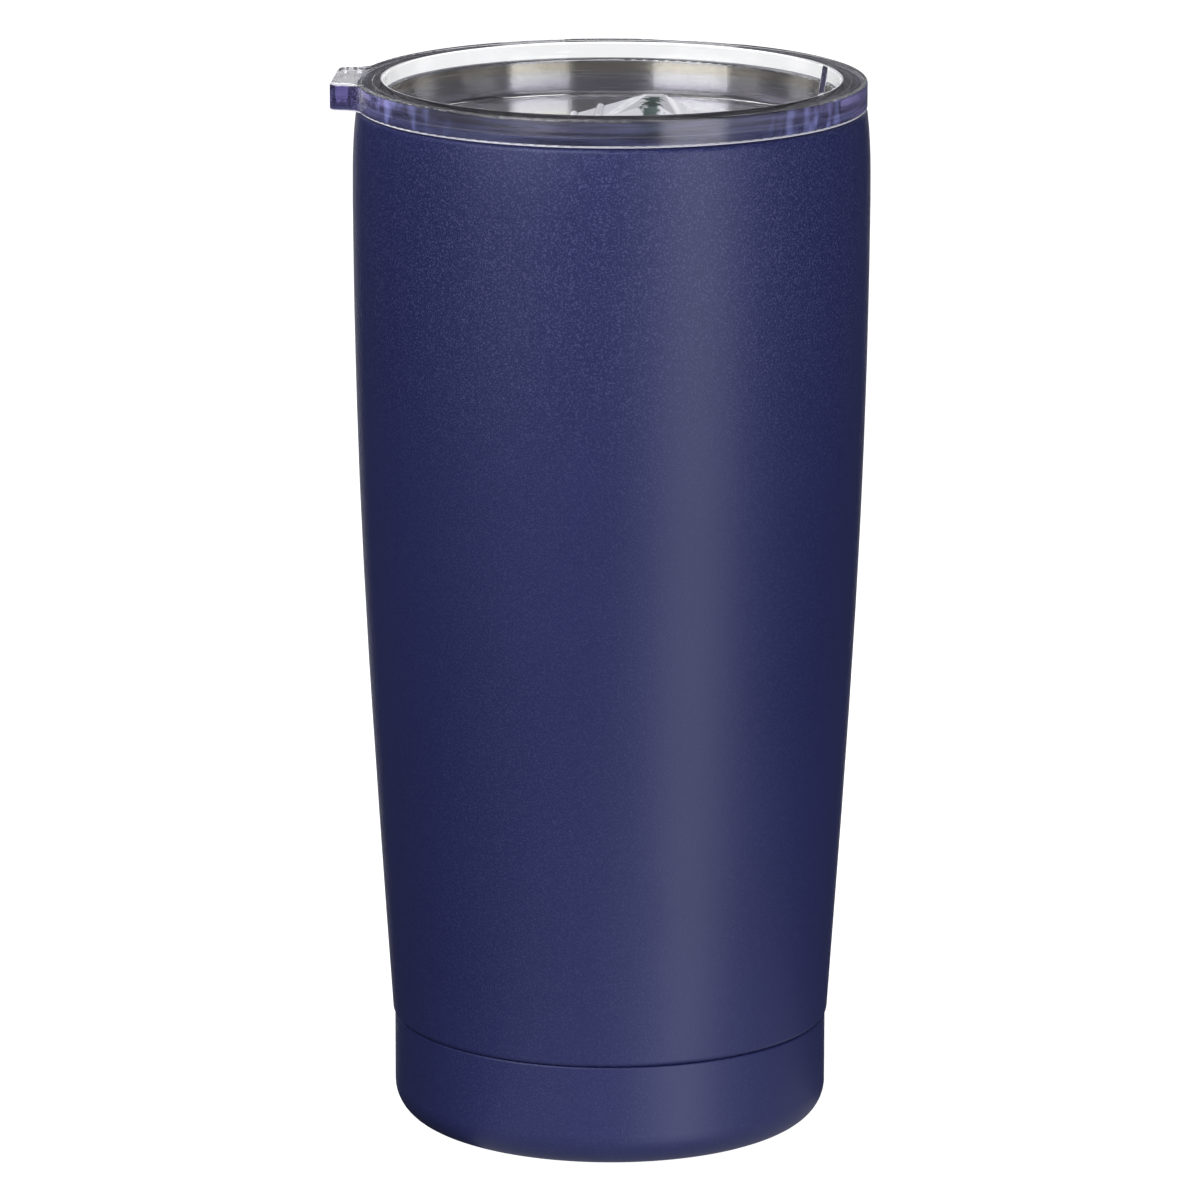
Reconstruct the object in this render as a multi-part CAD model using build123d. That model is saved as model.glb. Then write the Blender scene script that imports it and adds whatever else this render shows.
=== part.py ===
from build123d import *

import math
import os

# An insulated drinking tumbler with a clear push-in lid and a sliding closure, in millimetres, +Z up.
# The origin is the centre of the foot ring, on the ground. The drinking side is +X, the lid's pull tab is at -X.

# ---- Driving dimensions: the cup
LIP_HEIGHT = 174.8  # ground to the top of the steel lip
MAX_RADIUS = 43.05  # the shell at its widest
SHELL_WALL = 0.6
LINER_WALL = 0.5
VACUUM_GAP = 3.8  # between the two walls, over most of their height
MOUTH_RADIUS = 40.3  # inside the steel lip
MOUTH_START = 160.5  # where the liner's straight mouth begins
LINER_SHOULDER = 130.0  # where the liner leaves the taper to open into the mouth
SEAM_HEIGHT = 17.85  # where the shell meets the base cup
SEAM_ROUND = 0.9  # how far the shell's lower edge rolls in at the seam
BASE_RADIUS = 36.6
BASE_CORNER = 5.6  # outside round between the base's side and its foot
SPIGOT_INSET = 1.4  # from the base cup's side to the spigot that goes inside the shell
FOOT_INNER_RADIUS = 27.5
BASE_PANEL = 1.6  # from the foot up to the base's recessed panel
PORT_PANEL = 2.8  # from the foot up to the dimple round the vacuum port
FLOOR_HEIGHT = 16.0  # the drink's floor
FLOOR_BOSS_HEIGHT = 1.0  # the floor's raised centre
FLOOR_BOSS_RADIUS = 12.0
LINER_CORNER = 9.0
FLOOR_WELD_HEIGHT = 28.0  # where the liner's wall is welded to its floor dish

# ---- Driving dimensions: the lid
LID_TOP = 177.9
RIM_RADIUS = 42.4
RIM_ROUND = 0.6
SKIRT_BOTTOM = 173.2
SKIRT_WALL = 0.7
WELL_TOP_RADIUS = 37.94
WELL_FLOOR_RADIUS = 37.5
WELL_FLOOR = 169.1
LID_FLOOR_WALL = 1.5
PLUG_RADIUS = 39.55
PLUG_BOTTOM = 162.6
PLUG_INNER_RADIUS = 37.4
GROOVE_BOTTOM = 164.4  # the gasket's groove round the plug
GROOVE_TOP = 166.8
GROOVE_DEPTH = 0.95
TAB_REACH = 46.3  # from the axis to the tab's outer end
TAB_WIDTH = 17.6
POCKET_WALL_PLACE = 35.0  # from the axis to the middle of the straight wall across the drinking side
POCKET_WALL = 1.0
SIP_SLOT_START = 33.4  # from the axis to the near side of the sip slot
GUIDE_CLEARANCE = 0.1  # round the slider's stem, tongue and keeper
LIFT_CLEARANCE = 0.05  # between the lid and the cup, and the slider and the lid's floor
GASKET_CLEARANCE = 0.03  # between the gasket and its groove, and its lips and the mouth

# ---- Driving dimensions: the slider
SLIDER_TRAVEL = 13.0
SLIDER_WIDTH = 13.0
TONGUE_WIDTH = 18.0
TONGUE_RADIUS = 36.9  # the tongue's rounded end, about the lid's axis
TAIL_X = -9.6
TAIL_HEIGHT = 0.7
CREST_X = 5.5
CREST_WIDTH = 2.7
CREST_HEIGHT = 5.1  # above the lid's floor
FOOT_X = 13.1  # where the steep side meets the nose
FOOT_HEIGHT = 2.5
TONGUE_HEIGHT = 0.9
RIB_RADIUS = 0.7
RIB_PITCH = 4.4
FIRST_RIB_X = -2.15
STEM_START_X = 4.0
STEM_LENGTH = 6.0
STEM_WIDTH = 4.0
KEEPER_THICKNESS = 1.2
KEEPER_MARGIN = 2.5  # the keeper beyond the stem, on every side

# ---- Driving dimensions: inside the vacuum space
FOIL_WALL = 0.15
FOIL_GAP = 0.15  # between the liner and the foil wrapped round it
PORT_RADIUS = 1.5
SEAL_RADIUS = 3.2
SEAL_DROP = 0.9  # how far the seal's cap hangs under the port
GETTER_PLACE = 19.0  # from the axis
GETTER_RADIUS = 3.6  # inside the getter's cup
GETTER_CUP_DEPTH = 2.5
GETTER_CUP_WALL = 0.3

# The shell's outside: a straight taper that rounds over into a soft shoulder, as (radius, height).
SHELL_START = (36.93, SEAM_HEIGHT + SEAM_ROUND)
SHELL_PROFILE = [SHELL_START, (39.37, 55.7), (41.95, 104.6), (MAX_RADIUS, 156.0), (42.5, 171.9)]
SHELL_TAPER = (0.0675, 1)
SHELL_SHOULDER = (-0.12, 1)


def path(points, closed=False):
    """Edges through (radius, height, corner round) points. Each corner is rounded by its own size."""
    rounds = []
    for index, (radius, height, size) in enumerate(points):
        here = Vector(radius, height)
        if size == 0:
            rounds.append((here, here, here))
            continue
        before = (Vector(*points[index - 1][:2]) - here).normalized()
        after = (Vector(*points[(index + 1) % len(points)][:2]) - here).normalized()
        half_angle = math.radians(before.get_angle(after)) / 2
        inward = (before + after).normalized()
        reach = size / math.tan(half_angle)
        middle = here + inward * (size / math.sin(half_angle) - size)
        rounds.append((here + before * reach, middle, here + after * reach))
    edges = []
    for index, (start, middle, end) in enumerate(rounds):
        if start != end:
            edges.append(ThreePointArc(start, middle, end))
        if closed or index + 1 < len(rounds):
            edges.append(Line(end, rounds[(index + 1) % len(rounds)][0]))
    return edges


def turned(edges):
    """The solid that a closed outline of radius and height sweeps about the axis."""
    return revolve(Plane.XZ * make_face(edges), Axis.Z)


def turned_path(*points):
    """A solid of revolution from (radius, height, corner round) points."""
    return turned(path(points, closed=True))


def plate(sketch, bottom, top):
    """A flat outline, seen from above, made into a solid between two heights."""
    return extrude(Pos(0, 0, bottom) * sketch, top - bottom)


def slab(x_start, x_end, width):
    """A rectangle seen from above, centred across the axis."""
    return Pos((x_start + x_end) / 2, 0) * Rectangle(x_end - x_start, width)


# ---- The cup


def shell_side(inset):
    """The shell's outside line, moved towards the axis by inset."""
    points = [(radius - inset, height) for radius, height in SHELL_PROFILE]
    return Spline(*points, tangents=(SHELL_TAPER, SHELL_SHOULDER))


def liner_side(inset):
    """The liner's inside line, moved outwards by inset: it follows the shell, then opens into the mouth."""
    depth = SHELL_WALL + VACUUM_GAP + LINER_WALL
    low, middle = [(radius - depth, height) for radius, height in SHELL_PROFILE[1:3]]
    weld_radius = low[0] - (low[1] - FLOOR_WELD_HEIGHT) * SHELL_TAPER[0]
    shoulder = (MAX_RADIUS - depth - 0.3, LINER_SHOULDER)
    mouth = (MOUTH_RADIUS, MOUTH_START)
    points = [(weld_radius, FLOOR_WELD_HEIGHT), low, middle, shoulder, mouth]
    return Spline(*[(radius + inset, height) for radius, height in points], tangents=(SHELL_TAPER, (0, 1)))


def make_outer_shell():
    """The coated outer wall: a rolled lower edge, the long taper, a shoulder and the outside half of the lip."""
    lip_inner = MOUTH_RADIUS + LINER_WALL
    lip_outer = lip_inner + SHELL_WALL
    edge_radius = BASE_RADIUS - SPIGOT_INSET
    roll_start = SHELL_START[0] - SEAM_ROUND
    outside, inside = shell_side(0), shell_side(SHELL_WALL)
    shoulder = 172.95
    top = outside @ 1
    under_top = inside @ 1
    rolled_edge = TangentArc(outside @ 0, (roll_start, SEAM_HEIGHT), tangent=-(outside % 0))
    rolled_inside = TangentArc(inside @ 0, (roll_start, SEAM_HEIGHT + SHELL_WALL), tangent=-(inside % 0))
    upper = path(
        [
            (top.X, top.Y, 0),
            (top.X - 0.12, shoulder, 0.7),
            (lip_outer, shoulder, 0.25),
            (lip_outer, LIP_HEIGHT, 0.5),
            (lip_inner, LIP_HEIGHT, 0),
            (lip_inner, shoulder - SHELL_WALL, 0),
            (under_top.X - 0.05, shoulder - SHELL_WALL, 0.3),
            (under_top.X, under_top.Y, 0),
        ]
    )
    lower = path(
        [
            (roll_start, SEAM_HEIGHT, 0),
            (edge_radius, SEAM_HEIGHT, 0),
            (edge_radius, SEAM_HEIGHT + SHELL_WALL, 0),
            (roll_start, SEAM_HEIGHT + SHELL_WALL, 0),
        ]
    )
    return turned([outside, *upper, inside, rolled_inside, *lower, rolled_edge])


def make_base_cup():
    """The coated lower cup, whose spigot goes inside the shell's lower edge. Its centre holds the vacuum port."""
    wall = SHELL_WALL
    spigot = BASE_RADIUS - SPIGOT_INSET
    spigot_top = SEAM_HEIGHT + 2.7
    recess = FOOT_INNER_RADIUS - 1.0
    dimple_radius = 7.3
    dimple_slope = PORT_PANEL - BASE_PANEL
    return turned_path(
        (spigot, spigot_top, 0),
        (spigot, SEAM_HEIGHT, 0),
        (BASE_RADIUS, SEAM_HEIGHT, 0.35),
        (BASE_RADIUS, 0, BASE_CORNER),
        (recess, 0, 1.0),
        (recess, BASE_PANEL, 0),
        (dimple_radius + dimple_slope, BASE_PANEL, 0),
        (dimple_radius, PORT_PANEL, 0),
        (PORT_RADIUS, PORT_PANEL, 0),
        (PORT_RADIUS, PORT_PANEL + wall, 0),
        (dimple_radius + 0.3, PORT_PANEL + wall, 0),
        (dimple_radius + dimple_slope + 0.3, BASE_PANEL + wall, 0),
        (recess + wall, BASE_PANEL + wall, 0),
        (recess + wall, wall, 0.4),
        (BASE_RADIUS - wall, wall, BASE_CORNER - wall),
        (BASE_RADIUS - wall, SEAM_HEIGHT - wall, 0.4),
        (spigot - wall, SEAM_HEIGHT - wall, 0),
        (spigot - wall, spigot_top, 0),
    )


def make_port_seal():
    """The solder bead that closes the vacuum port: a stem in the port and a low cap under it."""
    return turned_path(
        (0, PORT_PANEL + SHELL_WALL, 0),
        (PORT_RADIUS, PORT_PANEL + SHELL_WALL, 0),
        (PORT_RADIUS, PORT_PANEL, 0),
        (SEAL_RADIUS, PORT_PANEL, 0),
        (SEAL_RADIUS - SEAL_DROP, PORT_PANEL - SEAL_DROP, 0.6),
        (0, PORT_PANEL - SEAL_DROP, 0),
    )


def make_base_cover():
    """The thin disc in the base's recess that hides the vacuum port."""
    edge = FOOT_INNER_RADIUS - 1.1
    bottom = BASE_PANEL - 0.5
    return turned_path((0, bottom, 0), (edge, bottom, 0.3), (edge, BASE_PANEL, 0), (0, BASE_PANEL, 0))


def make_inner_liner():
    """The bare steel wall that holds the drink, open at both ends, with the inside half of the lip."""
    inside, outside = liner_side(0), liner_side(LINER_WALL)
    top = path(
        [
            (MOUTH_RADIUS, MOUTH_START, 0),
            (MOUTH_RADIUS, LIP_HEIGHT, 0.4),
            (MOUTH_RADIUS + LINER_WALL, LIP_HEIGHT, 0),
            (MOUTH_RADIUS + LINER_WALL, MOUTH_START, 0),
        ]
    )
    return turned([inside, *top, outside, Line(inside @ 0, outside @ 0)])


def make_liner_floor():
    """The dish welded into the liner's lower end, with a low raised centre."""
    inside, outside = liner_side(0) @ 0, liner_side(LINER_WALL) @ 0
    corner_radius = inside.X - (FLOOR_WELD_HEIGHT - FLOOR_HEIGHT) * SHELL_TAPER[0]
    boss_foot = FLOOR_BOSS_RADIUS + 2 * FLOOR_BOSS_HEIGHT
    boss = FLOOR_HEIGHT + FLOOR_BOSS_HEIGHT
    return turned_path(
        (inside.X, FLOOR_WELD_HEIGHT, 0),
        (corner_radius, FLOOR_HEIGHT, LINER_CORNER),
        (boss_foot, FLOOR_HEIGHT, 0),
        (FLOOR_BOSS_RADIUS, boss, 0),
        (0, boss, 0),
        (0, boss - LINER_WALL, 0),
        (FLOOR_BOSS_RADIUS, boss - LINER_WALL, 0),
        (boss_foot, FLOOR_HEIGHT - LINER_WALL, 0),
        (corner_radius + LINER_WALL, FLOOR_HEIGHT - LINER_WALL, LINER_CORNER + LINER_WALL),
        (outside.X, FLOOR_WELD_HEIGHT, 0),
    )


def make_copper_foil():
    """The heat-reflecting wrap round the liner, inside the vacuum."""
    near, far = liner_side(LINER_WALL + FOIL_GAP), liner_side(LINER_WALL + FOIL_GAP + FOIL_WALL)
    return turned([near, far, Line(near @ 0, far @ 0), Line(near @ 1, far @ 1)])


def make_getter_holder():
    """The small pressed cup that is spot-welded under the liner's floor and holds the getter."""
    top = FLOOR_HEIGHT - LINER_WALL
    bottom = top - GETTER_CUP_DEPTH
    outside = GETTER_RADIUS + GETTER_CUP_WALL
    flange = outside + 2.1
    cup = turned_path(
        (0, bottom, 0),
        (outside, bottom, 0.5),
        (outside, top - GETTER_CUP_WALL, 0),
        (flange, top - GETTER_CUP_WALL, 0),
        (flange, top, 0),
        (GETTER_RADIUS, top, 0),
        (GETTER_RADIUS, bottom + GETTER_CUP_WALL, 0.2),
        (0, bottom + GETTER_CUP_WALL, 0),
    )
    return Pos(GETTER_PLACE, 0, 0) * cup


def make_getter_pellet():
    """The pressed pellet that takes up the last gas in the vacuum space."""
    bottom = FLOOR_HEIGHT - LINER_WALL - GETTER_CUP_DEPTH + GETTER_CUP_WALL
    return Pos(GETTER_PLACE, 0, 0) * plate(Circle(GETTER_RADIUS - 0.3), bottom, bottom + 1.6)


# ---- The lid


def lid_outline():
    """The lid seen from above: the round rim and the pull tab, blended where they meet."""
    outline = Circle(RIM_RADIUS) + slab(-TAB_REACH, 0, TAB_WIDTH)
    blend_points = outline.vertices().sort_by(Axis.X)[2:4]
    outline = fillet(blend_points, 3.0)
    return fillet(outline.vertices().sort_by(Axis.X)[:2], 2.0)


def make_rim():
    """The lid's solid outside: the rim with its tab, the skirt and the plug, before they are hollowed."""
    rim = plate(lid_outline(), SKIRT_BOTTOM, LID_TOP)
    rim = fillet(rim.edges().group_by(Axis.Z)[-1], RIM_ROUND)
    rim = fillet(rim.edges().group_by(Axis.Z)[0], 0.4)
    seat = LIP_HEIGHT + LIFT_CLEARANCE
    skirt_inside = RIM_RADIUS - SKIRT_WALL
    bevel = 0.15
    lip_room = turned_path(
        (PLUG_RADIUS, SKIRT_BOTTOM - 1, 0),
        (skirt_inside + bevel, SKIRT_BOTTOM - 1, 0),
        (skirt_inside + bevel, SKIRT_BOTTOM, 0),
        (skirt_inside, SKIRT_BOTTOM + bevel, 0),
        (skirt_inside, seat, 0.3),
        (PLUG_RADIUS, seat, 0.3),
    )
    plug = turned_path(
        (0, LID_TOP - 1.5, 0),
        (PLUG_RADIUS, LID_TOP - 1.5, 0),
        (PLUG_RADIUS, GROOVE_BOTTOM - 0.6, 0),
        (PLUG_RADIUS - 0.5, PLUG_BOTTOM, 0.4),
        (0, PLUG_BOTTOM, 0),
    )
    return rim - lip_room + plug


def well_space():
    """The space inside the lid's well, a little wider at the top than at the floor, with a rounded brim."""
    return turned_path(
        (0, WELL_FLOOR, 0),
        (WELL_FLOOR_RADIUS, WELL_FLOOR, 0.8),
        (WELL_TOP_RADIUS, LID_TOP, 0.25),
        (WELL_TOP_RADIUS + 1, LID_TOP, 0),
        (WELL_TOP_RADIUS + 1, LID_TOP + 1, 0),
        (0, LID_TOP + 1, 0),
    )


def make_pocket_wall():
    """The wall that parts the drinking pocket from the well, with a low window for the slider's tongue."""
    inner, outer = POCKET_WALL_PLACE - POCKET_WALL / 2, POCKET_WALL_PLACE + POCKET_WALL / 2
    wall = plate(slab(inner, outer, 2 * WELL_TOP_RADIUS), WELL_FLOOR - 0.5, LID_TOP)
    wall = fillet(wall.edges().group_by(Axis.Z)[-1].filter_by(Axis.Y), 0.3)
    wall = wall & plate(Circle(WELL_TOP_RADIUS + 0.4), WELL_FLOOR - 0.5, LID_TOP)
    window_top = WELL_FLOOR + TONGUE_HEIGHT + 0.5
    return wall - plate(slab(inner - 1, outer + 1, TONGUE_WIDTH + 1), WELL_FLOOR, window_top)


def make_lid_body():
    """The clear lid: rim, tab, skirt, plug and floor in one moulding."""
    under_floor = WELL_FLOOR - LID_FLOOR_WALL
    lid = make_rim() - well_space()
    lid -= turned_path(
        (0, PLUG_BOTTOM - 1, 0),
        (PLUG_INNER_RADIUS, PLUG_BOTTOM - 1, 0),
        (PLUG_INNER_RADIUS, under_floor, 0.6),
        (0, under_floor, 0),
    )
    lid -= gasket_groove()
    lid += make_pocket_wall()
    sip_slot = slab(SIP_SLOT_START, TONGUE_RADIUS, TONGUE_WIDTH - 2) & Circle(TONGUE_RADIUS - 0.7)
    sip_slot = fillet(sip_slot.vertices(), 0.8)
    guide_slot = slab(
        STEM_START_X - SLIDER_TRAVEL - GUIDE_CLEARANCE,
        STEM_START_X + STEM_LENGTH + GUIDE_CLEARANCE,
        STEM_WIDTH + 2 * GUIDE_CLEARANCE,
    )
    vent = Pos(-30, 0) * Circle(0.9)
    for opening in (sip_slot, guide_slot, vent):
        lid -= plate(opening, under_floor - 1, WELL_FLOOR + 0.001)
    return lid


def gasket_groove():
    """The space of the ring-shaped groove round the plug."""
    return turned_path(
        (PLUG_RADIUS - GROOVE_DEPTH, GROOVE_BOTTOM, 0),
        (PLUG_RADIUS + 1, GROOVE_BOTTOM, 0),
        (PLUG_RADIUS + 1, GROOVE_TOP, 0),
        (PLUG_RADIUS - GROOVE_DEPTH, GROOVE_TOP, 0),
    )


def make_lid_gasket():
    """The silicone ring in the plug's groove, with two soft lips that meet the steel mouth."""
    back = PLUG_RADIUS - GROOVE_DEPTH + GASKET_CLEARANCE
    low, high = GROOVE_BOTTOM + GASKET_CLEARANCE, GROOVE_TOP - GASKET_CLEARANCE
    lip = MOUTH_RADIUS - GASKET_CLEARANCE
    root = PLUG_RADIUS + 0.1
    return turned_path(
        (back, low, 0),
        (root, low, 0.1),
        (lip, low + 0.45, 0.15),
        (root, (low + high) / 2, 0.1),
        (lip, high - 0.45, 0.15),
        (root, high, 0.1),
        (back, high, 0),
    )


# ---- The closure


def make_slider():
    """The thumb slider: a ribbed ramp, a crest, a nose that thins into the tongue, and a stem through the lid."""
    floor = WELL_FLOOR + LIFT_CLEARANCE
    side = path(
        [
            (TAIL_X, floor, 0),
            (TAIL_X, WELL_FLOOR + TAIL_HEIGHT, 0.3),
            (CREST_X, WELL_FLOOR + CREST_HEIGHT, 0.6),
            (CREST_X + CREST_WIDTH, WELL_FLOOR + CREST_HEIGHT, 0.6),
            (FOOT_X, WELL_FLOOR + FOOT_HEIGHT, 0),
            (POCKET_WALL_PLACE - POCKET_WALL, WELL_FLOOR + TONGUE_HEIGHT, 0),
            (TONGUE_RADIUS + 1, WELL_FLOOR + TONGUE_HEIGHT, 0),
            (TONGUE_RADIUS + 1, floor, 0),
        ],
        closed=True,
    )
    body = extrude(Plane.XZ * make_face(side), TONGUE_WIDTH / 2, both=True)
    plan = slab(TAIL_X, FOOT_X + 4, SLIDER_WIDTH) + slab(FOOT_X + 3, TONGUE_RADIUS, TONGUE_WIDTH)
    plan = plan & Circle(TONGUE_RADIUS)
    tail_corners = plan.vertices().sort_by(Axis.X)[:2]
    plan = fillet(tail_corners, 2.0)
    body = body & plate(plan, floor, LID_TOP)
    slope = (CREST_HEIGHT - TAIL_HEIGHT) / (CREST_X - TAIL_X)
    rib = Rot(90, 0, 0) * extrude(Circle(RIB_RADIUS), SLIDER_WIDTH / 2 - 1.2, both=True)
    for rib_x in (FIRST_RIB_X, FIRST_RIB_X - RIB_PITCH):
        ramp_height = WELL_FLOOR + TAIL_HEIGHT + (rib_x - TAIL_X) * slope
        body += Pos(rib_x, 0, ramp_height) * rib
    body += Pos(FOOT_X - 0.4, 0, WELL_FLOOR + FOOT_HEIGHT - 0.1) * rib
    stem = slab(STEM_START_X, STEM_START_X + STEM_LENGTH, STEM_WIDTH)
    stem_bottom = WELL_FLOOR - LID_FLOOR_WALL - GUIDE_CLEARANCE - KEEPER_THICKNESS / 2
    return body + plate(stem, stem_bottom, floor + 0.5)


def make_slider_keeper():
    """The plate snapped on the slider's stem under the lid's floor, which holds the slider down."""
    top = WELL_FLOOR - LID_FLOOR_WALL - GUIDE_CLEARANCE
    stem_end = STEM_START_X + STEM_LENGTH
    outline = slab(STEM_START_X - KEEPER_MARGIN, stem_end + KEEPER_MARGIN, STEM_WIDTH + 2 * KEEPER_MARGIN)
    outline = fillet(outline.vertices(), 1.5)
    pocket = slab(STEM_START_X, stem_end, STEM_WIDTH)
    return plate(outline, top - KEEPER_THICKNESS, top) - plate(pocket, top - KEEPER_THICKNESS / 2, top)


PARTS = {
    "outer_shell": make_outer_shell,
    "base_cup": make_base_cup,
    "base_cover": make_base_cover,
    "port_seal": make_port_seal,
    "inner_liner": make_inner_liner,
    "liner_floor": make_liner_floor,
    "copper_foil": make_copper_foil,
    "getter_holder": make_getter_holder,
    "getter_pellet": make_getter_pellet,
    "lid_body": make_lid_body,
    "lid_gasket": make_lid_gasket,
    "slider": make_slider,
    "slider_keeper": make_slider_keeper,
}

os.makedirs("parts", exist_ok=True)
for name, make in PARTS.items():
    export_step(make(), f"parts/{name}.step")
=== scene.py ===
import math

import bpy
from mathutils import Matrix, Vector


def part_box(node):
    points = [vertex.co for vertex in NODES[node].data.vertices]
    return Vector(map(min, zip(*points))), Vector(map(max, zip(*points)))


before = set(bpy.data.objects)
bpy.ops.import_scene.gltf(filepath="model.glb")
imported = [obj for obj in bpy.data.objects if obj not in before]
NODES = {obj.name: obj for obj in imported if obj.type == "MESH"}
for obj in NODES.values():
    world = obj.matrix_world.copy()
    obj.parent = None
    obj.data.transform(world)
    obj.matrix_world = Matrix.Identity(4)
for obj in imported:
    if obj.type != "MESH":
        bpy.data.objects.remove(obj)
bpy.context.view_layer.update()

MM = 0.001
COATED = ("outer_shell", "base_cup")

# ---- Places taken from the frame
LID_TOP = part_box("lid_body")[1].z
LIP_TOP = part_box("outer_shell")[1].z
RIM_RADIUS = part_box("lid_body")[1].y
MIDDLE = LID_TOP / 2  # the height that the softboxes face

# ---- Places on the lid
BRIM_RADIUS = RIM_RADIUS - 4.5 * MM  # the well's brim, inside the rim
OUTER_START = RIM_RADIUS - 0.7 * MM  # the rim's outer face counts from here on
OUTER_FULL = RIM_RADIUS - 0.5 * MM
TOP_START = LID_TOP - 0.9 * MM  # and its top from here up
TOP_FULL = LID_TOP - 0.4 * MM
POCKET_START = 34.3 * MM  # the wall across the drinking side lies between these two places
POCKET_END = 35.7 * MM
POCKET_FOOT = LID_TOP - 8.5 * MM  # the lowest part of that wall which shows
CREST = 6.8 * MM  # the middle of the slider's crest, towards the drinking side
SEATED_HEIGHT = LID_TOP + 1 * MM  # up to here the lid counts as seated on the cup
LIFTED_HEIGHT = LID_TOP + 9 * MM  # from here it counts as lifted off

# ---- The coat's scuffs, and how high up the cup its pale speckles get stronger as a painted sheen towards the shoulder
SCUFF_TOP = 2.2 * MM
SPECKLE_SHEEN_START = 0.6 * LIP_TOP
SPECKLE_SHEEN_FULL = 0.93 * LIP_TOP

# ---- The painted shade along the steel lip, and the heat tints round the mouth below it
LIP_SHADE_START = LIP_TOP - 0.8 * MM
LIP_SHADE_FULL = LIP_TOP - 0.5 * MM
STRAW_START = LIP_TOP - 3 * MM
STRAW_END = LIP_TOP - 1.5 * MM
PLUM_START = LIP_TOP - 2.5 * MM
PLUM_END = LIP_TOP - 5 * MM

# ---- The floor and the lamp in it
FLOOR_REACH = 12.0
FLOOR_BEHIND_LID = 0.84  # its glow through clear plastic, where 1 is white
FLOOR_ELSEWHERE = 0.12  # its glow in milky and scratched plastic
TABLE_LIGHT_PLACE = (0.075, -0.14, -2 * MM)
TABLE_LIGHT_ACROSS = 0.3
TABLE_LIGHT_POWER = 0.075

# ---- The room: its light on the object, and the backdrop's glow, which fades from low to high
ROOM_LIGHT = 0.05
BACKDROP = {"From Min": 0.35, "From Max": 0.65, "To Min": 0.28, "To Max": 0.03}

# ---- The camera, which stands where the photographer stood
CAMERA_AZIMUTH = math.radians(3.0)
CAMERA_DISTANCE = 1.24166
CAMERA_RISE = 0.20096  # above the lid's top
CAMERA_PITCH = math.radians(13.14)
CAMERA_ROLL = math.radians(0.115)
LENS = 227.18
SENSOR = 36.0
CAMERA_SHIFT = -0.009  # of the picture's width

LIGHT_BOUNCES = 48  # enough for light that is caught inside the lid's rim


# ---- Small helpers for node materials


class Material:
    """A node material on a Principled shader, with short calls for the nodes it needs."""

    def __init__(self, name, **inputs):
        self.data = bpy.data.materials.new(name)
        self.data.use_nodes = True
        self.nodes = self.data.node_tree.nodes
        self.links = self.data.node_tree.links
        self.shader = next(node for node in self.nodes if node.type == "BSDF_PRINCIPLED")
        self.place = self.node("ShaderNodeTexCoord").outputs["Object"]
        self.set(self.shader, **inputs)

    def node(self, kind, **settings):
        made = self.nodes.new(kind)
        for key, value in settings.items():
            setattr(made, key, value)
        return made

    def fill(self, sockets, values):
        """Gives each socket its value, or links it to another node's output."""
        for socket, value in zip(sockets, values):
            if isinstance(value, bpy.types.NodeSocket):
                self.links.new(value, socket)
            else:
                socket.default_value = value

    def set(self, node, **inputs):
        sockets = [node.inputs[key.replace("_", " ")] for key in inputs]
        self.fill(sockets, inputs.values())

    def stretched(self, scale):
        """Object coordinates stretched along the axes, for streaks."""
        mapping = self.node("ShaderNodeMapping")
        self.set(mapping, Vector=self.place, Scale=scale)
        return mapping.outputs["Vector"]

    def noise(self, scale, detail=2.0, roughness=0.5, vector=None):
        made = self.node("ShaderNodeTexNoise")
        self.set(made, Vector=vector or self.place, Scale=scale, Detail=detail, Roughness=roughness)
        return made.outputs["Fac"]

    def spread(self, value, low, high, to_low=0.0, to_high=1.0):
        """A value's range from low to high carried to another range."""
        made = self.node("ShaderNodeMapRange")
        made.interpolation_type = "SMOOTHSTEP"
        self.set(made, Value=value, From_Min=low, From_Max=high, To_Min=to_low, To_Max=to_high)
        return made.outputs["Result"]

    def math(self, operation, first, second):
        made = self.node("ShaderNodeMath", operation=operation)
        self.fill(made.inputs, (first, second))
        return made.outputs["Value"]

    def blend(self, factor, first, second):
        """A colour that goes from first to second."""
        made = self.node("ShaderNodeMix", data_type="RGBA")
        self.fill([socket for socket in made.inputs if socket.enabled], (factor, first, second))
        return next(socket for socket in made.outputs if socket.enabled)

    def bump(self, height, strength, distance, normal=None):
        made = self.node("ShaderNodeBump")
        self.set(made, Height=height, Strength=strength, Distance=distance)
        if normal:
            self.set(made, Normal=normal)
        return made.outputs["Normal"]

    def chain(self, operation, first, *others):
        """One operation carried through several values."""
        for other in others:
            first = self.math(operation, first, other)
        return first

    def product(self, *masks):
        """Masks multiplied together."""
        return self.chain("MULTIPLY", *masks)

    def strongest(self, *masks):
        """The largest of several masks."""
        return self.chain("MAXIMUM", *masks)

    def absolute(self, value):
        return self.math("ABSOLUTE", value, 0.0)

    def opposite(self, mask):
        """What a mask leaves out."""
        return self.math("SUBTRACT", 1.0, mask)

    def part(self, vector, axis):
        """One of a vector's three parts."""
        made = self.node("ShaderNodeSeparateXYZ")
        self.set(made, Vector=vector)
        return made.outputs[axis]

    def height(self):
        """The height above the ground, in metres."""
        return self.part(self.place, "Z")

    def radius(self):
        """The distance from the object's upright axis, in metres."""
        squares = [self.math("POWER", self.part(self.place, axis), 2.0) for axis in "XY"]
        return self.math("SQRT", self.math("ADD", *squares), 0.0)


def rgb(red, green, blue):
    return (red, green, blue, 1.0)


# ---- Materials


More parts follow.
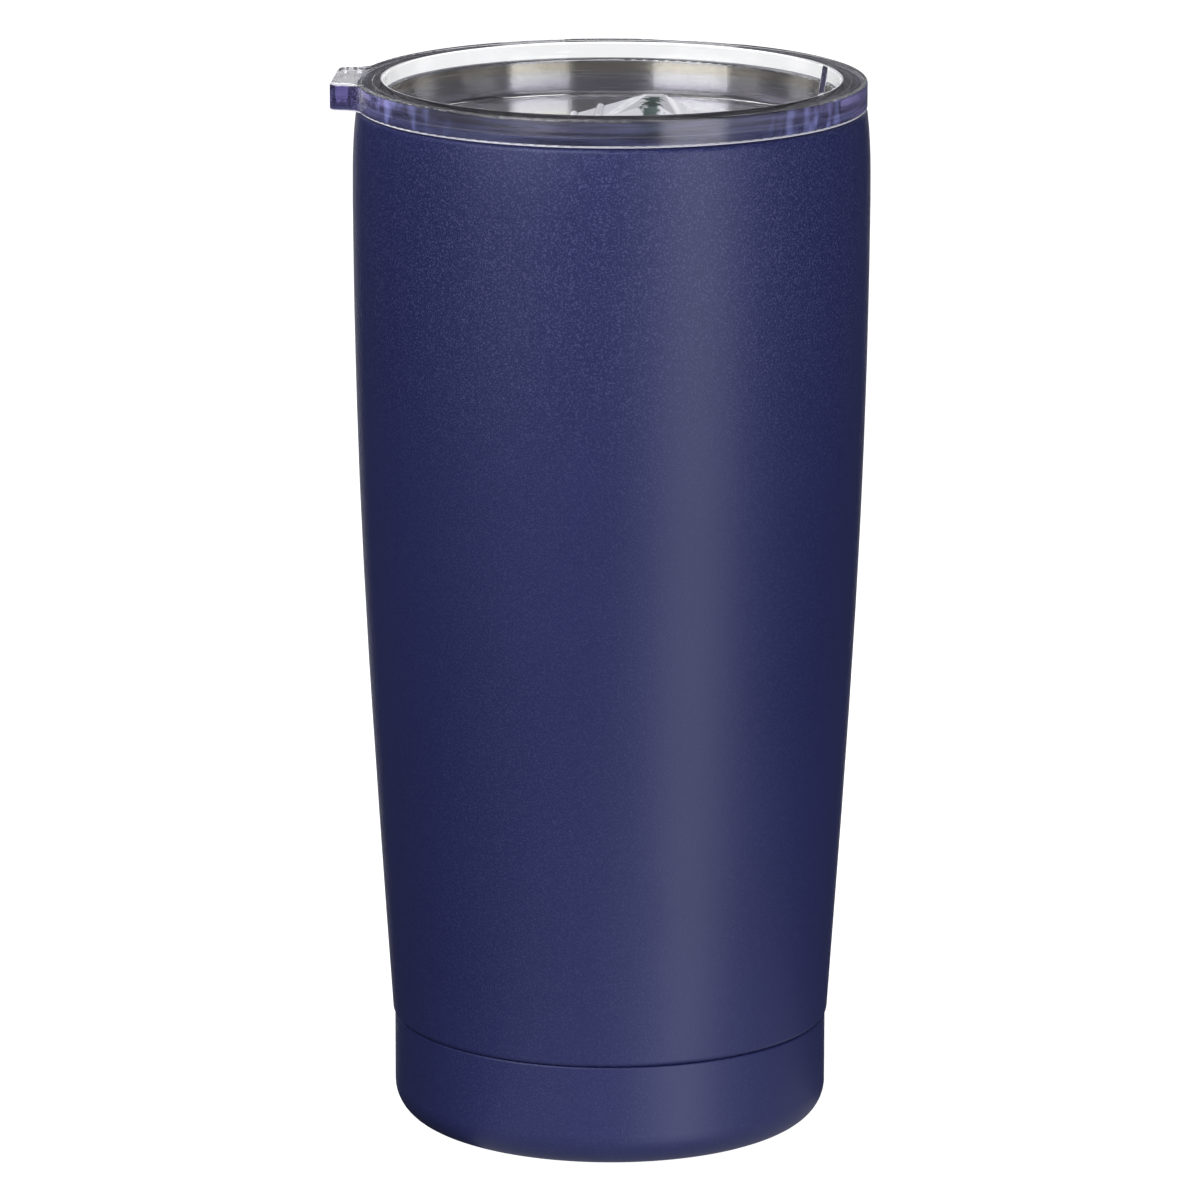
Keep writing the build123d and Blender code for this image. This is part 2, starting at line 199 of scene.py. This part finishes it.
def navy_coat():
    """Fine-grained satin powder coat over steel, a little scuffed at the foot. Its pale speckles grow
    stronger towards the shoulder as a painted sheen of the shoulder's highlight.
    """
    m = Material("navy_coat", Specular_IOR_Level=0.52, Specular_Tint=rgb(0.84, 0.86, 1.0))
    grain = m.noise(3400, detail=2.0, roughness=0.6)
    peel = m.noise(520, detail=2.0)
    cloud = m.noise(18, detail=2.0)
    base = m.blend(m.spread(cloud, 0.35, 0.65), rgb(0.0150, 0.0195, 0.091), rgb(0.0175, 0.0225, 0.101))
    # painted sheen: the pale speckles grow stronger up the cup, where the shoulder's highlight falls
    fade = m.spread(m.height(), SPECKLE_SHEEN_START, SPECKLE_SHEEN_FULL, 0.25, 1.0)
    speckle_and_sheen = m.product(m.spread(grain, 0.48, 0.68), fade, 0.78)
    base = m.blend(speckle_and_sheen, base, rgb(0.077, 0.082, 0.212))
    low = m.spread(m.height(), 0.0, SCUFF_TOP, 1.0, 0.0)
    scuff = m.product(low, m.spread(m.noise(420, detail=4.0), 0.55, 0.68))
    base = m.blend(m.product(scuff, 0.5), base, rgb(0.10, 0.105, 0.15))
    rough = m.math("ADD", m.spread(grain, 0.3, 0.7, 0.42, 0.5), m.product(scuff, 0.15))
    normal = m.bump(peel, 0.25, 0.03 * MM)
    normal = m.bump(grain, 0.6, 0.04 * MM, normal)
    m.set(m.shader, Base_Color=base, Roughness=rough, Normal=normal)
    return m.data


def lathe_steel():
    """Stainless steel finished on a lathe: fine rings, so reflections smear up and down."""
    m = Material("lathe_steel", Metallic=1.0, Roughness=0.3, Anisotropic=1.0, Anisotropic_Rotation=0.25)
    tangent = m.node("ShaderNodeTangent", direction_type="RADIAL", axis="Z")
    rings = m.noise(1.0, detail=4.0, roughness=0.7, vector=m.stretched((30, 30, 9000)))
    cloud = m.noise(45, detail=3.0)
    base = m.blend(cloud, rgb(0.62, 0.61, 0.61), rgb(0.70, 0.69, 0.69))
    straw = m.spread(m.height(), STRAW_START, STRAW_END)
    plum = m.spread(m.height(), PLUM_END, PLUM_START, 1.0, 0.0)
    lip = m.spread(m.height(), LIP_SHADE_START, LIP_SHADE_FULL)
    base = m.blend(m.product(straw, 0.55), base, rgb(0.70, 0.62, 0.44))
    base = m.blend(m.product(plum, 0.6), base, rgb(0.50, 0.47, 0.57))
    # painted shade: a darker band along the top of the steel lip
    base = m.blend(lip, base, rgb(0.54, 0.53, 0.54))
    rough = m.spread(rings, 0.3, 0.7, 0.18, 0.28)
    m.set(m.shader, Base_Color=base, Roughness=rough, Normal=m.bump(rings, 0.12, 0.01 * MM))
    m.set(m.shader, Tangent=tangent.outputs["Tangent"])
    return m.data


def lid_places(m):
    """Masks for the lid's different places, where the camera sees them straight and the lid is on the cup."""
    geometry = m.node("ShaderNodeNewGeometry")
    rays = m.node("ShaderNodeLightPath")
    world_height = m.part(geometry.outputs["Position"], "Z")
    facing = m.part(geometry.outputs["True Normal"], "Z")
    across = m.part(m.place, "X")
    radius = m.radius()
    seated = m.spread(world_height, SEATED_HEIGHT, LIFTED_HEIGHT, 1.0, 0.0)
    seen = m.product(seated, rays.outputs["Is Camera Ray"])

    near = m.product(seen, m.spread(radius, OUTER_START, OUTER_FULL))
    side = m.product(near, m.spread(m.absolute(facing), 0.3, 0.7, 1.0, 0.0))
    ends = m.spread(m.absolute(across), 0.5 * RIM_RADIUS, 0.88 * RIM_RADIUS)
    tab = m.spread(m.product(across, -1.0), 0.97 * RIM_RADIUS, RIM_RADIUS)
    high = m.product(seen, m.spread(m.height(), TOP_START, TOP_FULL))
    inside = m.product(high, m.spread(radius, BRIM_RADIUS + 0.3 * MM, BRIM_RADIUS + 0.5 * MM, 1.0, 0.0))
    top = m.product(m.spread(facing, 0.95, 0.99), m.math("SUBTRACT", high, inside))
    brim = m.product(inside, m.spread(radius, BRIM_RADIUS - 0.3 * MM, BRIM_RADIUS - 0.1 * MM))
    pocket = m.product(
        seen,
        m.spread(across, POCKET_START, POCKET_START + 0.1 * MM),
        m.spread(across, POCKET_END - 0.1 * MM, POCKET_END, 1.0, 0.0),
        m.spread(radius, BRIM_RADIUS - 0.7 * MM, BRIM_RADIUS - 0.4 * MM, 1.0, 0.0),
        m.spread(m.height(), POCKET_FOOT, POCKET_FOOT + 0.5 * MM),
        m.spread(m.node("ShaderNodeLayerWeight").outputs["Facing"], 0.5, 0.8),
    )
    return {
        "facing": facing,
        "across": across,
        "seen": seen,
        "near": near,
        "side": side,
        "ends": ends,
        "tab": tab,
        "top": top,
        "brim": brim,
        "pocket": pocket,
    }


def lid_colour_and_painted_reflections(m, places):
    """The lid's colour: clear near-white, with painted reflections of the coat's navy in the rim's sides and
    tab, a painted grey ring of dark reflection on the rim's flat top, and painted navy in the pocket wall.
    """
    # painted reflection: the coat's navy in the rim's sides, deeper at the ends and darkest on the tab
    painted_navy = m.blend(places["ends"], rgb(0.10, 0.10, 0.165), rgb(0.050, 0.040, 0.19))
    painted_navy = m.blend(places["tab"], painted_navy, rgb(0.013, 0.009, 0.072))
    base = m.blend(places["side"], rgb(0.97, 0.975, 0.985), painted_navy)
    # painted dark reflection: a grey ring on the rim's flat top, strongest at the front, fading to the back
    # and weaker on the tab
    back = m.spread(m.part(m.place, "Y"), 0.4 * RIM_RADIUS, 0.9 * RIM_RADIUS, 1.0, 0.25)
    painted_grey_ring = m.product(places["top"], m.spread(places["tab"], 0.0, 1.0, 1.0, 0.4), back)
    base = m.blend(painted_grey_ring, base, rgb(0.60, 0.58, 0.66))
    # painted navy in the wall across the drinking side, for the coat's blue seen through it
    return m.blend(places["pocket"], base, rgb(0.17, 0.15, 0.50))


def lid_glow(m, places):
    """The colour and strength of the painted light on the lid, given as emission: glowing streaks and
    patches, and glints on bright edges.
    """
    facing, tab = places["facing"], places["tab"]
    # painted glow: streaks and blue patches of light in the rim's sides, fading out at the very ends
    streaks = m.spread(m.noise(1.0, detail=3.0, vector=m.stretched((70, 70, 1400))), 0.35, 0.65, 0.01, 0.08)
    patches = m.noise(1.0, detail=2.0, vector=m.stretched((380, 380, 170)))
    patches = m.spread(patches, 0.42, 0.72, 0.0, 0.34)
    fade = m.spread(m.absolute(places["across"]), 0.86 * RIM_RADIUS, 0.93 * RIM_RADIUS, 1.0, 0.0)
    patches = m.product(patches, fade, places["ends"])
    painted_glow = m.product(places["side"], m.math("ADD", streaks, patches))

    # painted glints: white lines on the tab's top edge, along the brim and on the skirt's bottom edge
    upward = m.spread(facing, 0.2, 0.5)
    tab_edge = m.product(upward, m.spread(facing, 0.90, 0.98, 1.0, 0.0), tab, places["seen"])
    under = m.product(places["near"], m.spread(facing, -0.40, -0.05, 1.0, 0.0))
    lines = m.strongest(tab_edge, m.product(places["brim"], upward), under)
    # painted sheen on the tab's top
    sheen = m.product(places["top"], tab, 0.10)
    white = m.strongest(m.product(lines, 0.6), sheen)
    hue = m.blend(m.spread(white, 0.0, 0.1), rgb(0.42, 0.46, 1.0), rgb(0.88, 0.87, 0.92))
    return hue, m.strongest(white, painted_glow)


def clear_plastic():
    """Clear moulded copolyester. While it sits on the cup, its outer faces carry painted reflections of the
    coat's navy, and painted glow and glints as emission.
    """
    m = Material("clear_plastic", Transmission_Weight=1.0, IOR=1.55)
    places = lid_places(m)
    hue, glow = lid_glow(m, places)
    scratches = m.noise(1.0, detail=2.0, vector=m.stretched((900, 4200, 2500)))
    rough = m.strongest(m.spread(scratches, 0.62, 0.72, 0.0, 0.08), m.product(places["side"], 0.17))
    m.set(m.shader, Base_Color=lid_colour_and_painted_reflections(m, places), Roughness=rough)
    m.set(m.shader, Normal=m.bump(m.noise(160, detail=1.0), 0.12, 0.05 * MM))
    m.set(m.shader, Emission_Color=hue, Emission_Strength=glow)
    return m.data


def bright_plastic():
    """The slider's clear plastic: a painted glow as emission, a colour painted darker where it is seen
    through the lid, and a dark green core under its crest.
    """
    m = Material("bright_plastic", Transmission_Weight=0.5, IOR=1.55)
    cloud = m.noise(140, detail=2.0)
    ragged = m.spread(m.noise(900, detail=3.0), 0.3, 0.7, -0.8 * MM, 0.8 * MM)
    from_crest = m.math("SUBTRACT", m.math("ADD", m.part(m.place, "X"), ragged), CREST)
    core = m.spread(m.absolute(from_crest), 0.9 * MM, 2.0 * MM, 1.0, 0.0)
    core = m.product(core, m.spread(m.part(m.place, "Y"), 2.5 * MM, 4.5 * MM, 1.0, 0.0))
    straight = m.node("ShaderNodeLightPath").outputs["Is Camera Ray"]  # not through the lid
    base = m.blend(cloud, rgb(0.90, 0.90, 0.96), rgb(0.96, 0.96, 0.98))
    # painted shade: a darker copy of the colour for rays that reach the slider through the lid
    base = m.blend(straight, rgb(0.34, 0.34, 0.42), base)
    base = m.blend(core, base, rgb(0.14, 0.20, 0.18))
    # painted glow as emission, strongest where the camera sees the slider straight
    glow = m.product(m.opposite(core), m.spread(straight, 0.0, 1.0, 0.02, 0.24))
    scratches = m.noise(1.0, detail=2.0, vector=m.stretched((900, 3000, 2500)))
    m.set(m.shader, Base_Color=base, Roughness=m.spread(scratches, 0.6, 0.72, 0.03, 0.12))
    m.set(m.shader, Normal=m.bump(cloud, 0.1, 0.05 * MM))
    m.set(m.shader, Emission_Color=rgb(0.92, 0.91, 1.0), Emission_Strength=glow)
    return m.data


def soft_silicone():
    """Milky silicone with a fine moulded matt surface."""
    m = Material("soft_silicone", Transmission_Weight=0.55, IOR=1.41, Roughness=0.4)
    dust = m.noise(900, detail=3.0)
    base = m.blend(m.spread(dust, 0.4, 0.7), rgb(0.86, 0.87, 0.87), rgb(0.78, 0.79, 0.80))
    m.set(m.shader, Base_Color=base, Normal=m.bump(dust, 0.2, 0.02 * MM))
    return m.data


def copper_foil():
    """Thin crumpled copper foil."""
    m = Material("copper_foil", Metallic=1.0, Roughness=0.25)
    crumple = m.noise(90, detail=4.0)
    base = m.blend(crumple, rgb(0.78, 0.34, 0.20), rgb(0.90, 0.46, 0.30))
    m.set(m.shader, Base_Color=base, Normal=m.bump(crumple, 0.8, 0.8 * MM))
    return m.data


def pressed_powder():
    """Dark pressed metal powder."""
    m = Material("pressed_powder", Metallic=0.6, Roughness=0.75)
    grain = m.noise(3200, detail=3.0)
    base = m.blend(grain, rgb(0.05, 0.05, 0.055), rgb(0.14, 0.14, 0.15))
    m.set(m.shader, Base_Color=base, Normal=m.bump(grain, 0.6, 0.05 * MM))
    return m.data


def solder_glass():
    """Dark fused glass bead."""
    m = Material("solder_glass", Roughness=0.15)
    cloud = m.noise(600, detail=2.0)
    base = m.blend(cloud, rgb(0.03, 0.032, 0.035), rgb(0.09, 0.095, 0.10))
    m.set(m.shader, Base_Color=base, Normal=m.bump(cloud, 0.2, 0.05 * MM))
    return m.data


def dress_nodes():
    """Gives each CAD node its finish."""
    finishes = {
        navy_coat(): COATED,
        lathe_steel(): ("inner_liner", "liner_floor", "base_cover", "getter_holder"),
        clear_plastic(): ("lid_body",),
        bright_plastic(): ("slider", "slider_keeper"),
        soft_silicone(): ("lid_gasket",),
        copper_foil(): ("copper_foil",),
        pressed_powder(): ("getter_pellet",),
        solder_glass(): ("port_seal",),
    }
    for finish, names in finishes.items():
        for name in names:
            NODES[name].material_slots[0].material = finish


# ---- The studio


def make_floor():
    """A table that glows white to the eye and is left out of the object's reflections."""
    mesh = bpy.data.meshes.new("studio_floor")
    signs = [(-1, -1), (1, -1), (1, 1), (-1, 1)]
    corners = [(along * FLOOR_REACH, across * FLOOR_REACH, 0) for along, across in signs]
    mesh.from_pydata(corners, [], [(0, 1, 2, 3)])
    floor = bpy.data.objects.new("studio_floor", mesh)
    bpy.context.scene.collection.objects.link(floor)
    m = Material("studio_floor", Roughness=0.9, Specular_IOR_Level=0.1)
    cloud = m.noise(1.5, detail=1.0)
    m.set(m.shader, Base_Color=m.blend(cloud, rgb(0.40, 0.40, 0.40), rgb(0.42, 0.42, 0.42)))
    rays = m.node("ShaderNodeLightPath")
    behind_lid = m.product(rays.outputs["Is Transmission Ray"], FLOOR_BEHIND_LID)
    glow = m.strongest(rays.outputs["Is Camera Ray"], behind_lid, FLOOR_ELSEWHERE)
    m.set(m.shader, Emission_Color=rgb(1.0, 1.0, 1.0), Emission_Strength=glow)
    mesh.materials.append(m.data)
    floor.visible_diffuse = False
    floor.visible_glossy = False
    floor.visible_shadow = False


def softbox(name, azimuth, elevation, distance, width, height, power):
    """A rectangular light that faces the object: degrees, metres and watts. Azimuth turns from -Y to +X."""
    light = bpy.data.lights.new(name, "AREA")
    light.shape = "RECTANGLE"
    light.size = width
    light.size_y = height
    light.energy = power
    lamp = bpy.data.objects.new(name, light)
    turn, rise = math.radians(azimuth), math.radians(elevation)
    away = Vector((math.sin(turn) * math.cos(rise), -math.cos(turn) * math.cos(rise), math.sin(rise)))
    aim = away.to_track_quat("Z", "Y").to_matrix().to_4x4()
    lamp.matrix_world = Matrix.Translation(Vector((0, 0, MIDDLE)) + away * distance) @ aim
    bpy.context.scene.collection.objects.link(lamp)
    return lamp


def table_light():
    """A flat lamp in the table top, for the light that the white table throws up at the lower body."""
    light = bpy.data.lights.new("table_light", "AREA")
    light.shape = "DISK"
    light.size = TABLE_LIGHT_ACROSS
    light.energy = TABLE_LIGHT_POWER
    lamp = bpy.data.objects.new("table_light", light)
    lamp.matrix_world = Matrix.Translation(TABLE_LIGHT_PLACE) @ Matrix.Rotation(math.pi, 4, "X")
    lamp.visible_camera = False
    bpy.context.scene.collection.objects.link(lamp)
    return lamp


def light_only(lamp, names):
    """Keeps a light to the named nodes, so that it doesn't shine through the clear lid."""
    receivers = bpy.data.collections.new(lamp.name + "_receivers")
    for name in names:
        receivers.objects.link(NODES[name])
    lamp.light_linking.receiver_collection = receivers


def make_world():
    """A dim room, with a pale backdrop that is seen only straight or through the clear lid."""
    world = bpy.data.worlds.new("studio")
    world.use_nodes = True
    nodes, links = world.node_tree.nodes, world.node_tree.links
    background = next(node for node in nodes if node.type == "BACKGROUND")
    background.inputs["Color"].default_value = rgb(0.90, 0.91, 1.0)
    direction = nodes.new("ShaderNodeSeparateXYZ")
    links.new(nodes.new("ShaderNodeTexCoord").outputs["Generated"], direction.inputs["Vector"])
    backdrop = nodes.new("ShaderNodeMapRange")
    backdrop.interpolation_type = "SMOOTHSTEP"
    links.new(direction.outputs["Z"], backdrop.inputs["Value"])
    for name, value in BACKDROP.items():
        backdrop.inputs[name].default_value = value
    rays = nodes.new("ShaderNodeLightPath")
    seen = nodes.new("ShaderNodeMath")
    seen.operation = "MAXIMUM"
    links.new(rays.outputs["Is Camera Ray"], seen.inputs[0])
    links.new(rays.outputs["Is Transmission Ray"], seen.inputs[1])
    strength = nodes.new("ShaderNodeMix")
    links.new(seen.outputs["Value"], strength.inputs["Factor"])
    strength.inputs["A"].default_value = ROOM_LIGHT
    links.new(backdrop.outputs["Result"], strength.inputs["B"])
    links.new(strength.outputs["Result"], background.inputs["Strength"])
    bpy.context.scene.world = world


def make_camera():
    """The long-lens view from a little above the lid, with the drinking side at the right."""
    data = bpy.data.cameras.new("camera")
    data.sensor_width = SENSOR
    data.lens = LENS
    data.shift_x = CAMERA_SHIFT
    camera = bpy.data.objects.new("camera", data)
    sideways, forward = math.sin(CAMERA_AZIMUTH), math.cos(CAMERA_AZIMUTH)
    place = (sideways * CAMERA_DISTANCE, -forward * CAMERA_DISTANCE, LID_TOP + CAMERA_RISE)
    turn = Matrix.Rotation(CAMERA_AZIMUTH, 4, "Z") @ Matrix.Rotation(math.pi / 2 - CAMERA_PITCH, 4, "X")
    camera.matrix_world = Matrix.Translation(place) @ turn @ Matrix.Rotation(CAMERA_ROLL, 4, "Z")
    bpy.context.scene.collection.objects.link(camera)
    bpy.context.scene.camera = camera


def set_render():
    """Plain colours, and enough bounces for clear plastic over bright steel."""
    scene = bpy.context.scene
    scene.view_settings.view_transform = "Standard"
    scene.cycles.max_bounces = LIGHT_BOUNCES
    scene.cycles.transmission_bounces = LIGHT_BOUNCES
    scene.cycles.glossy_bounces = LIGHT_BOUNCES


dress_nodes()
make_floor()
make_world()
softbox("softbox_right", azimuth=40, elevation=8, distance=1.6, width=0.86, height=2.9, power=22)
softbox("softbox_left", azimuth=-38, elevation=30, distance=1.6, width=1.15, height=1.6, power=18)
softbox("softbox_top", azimuth=-30, elevation=70, distance=1.3, width=1.6, height=0.9, power=9)
back_light = softbox("softbox_back", azimuth=185, elevation=16, distance=1.6, width=1.1, height=2.2, power=13)
light_only(back_light, COATED)
light_only(table_light(), COATED)
make_camera()
set_render()
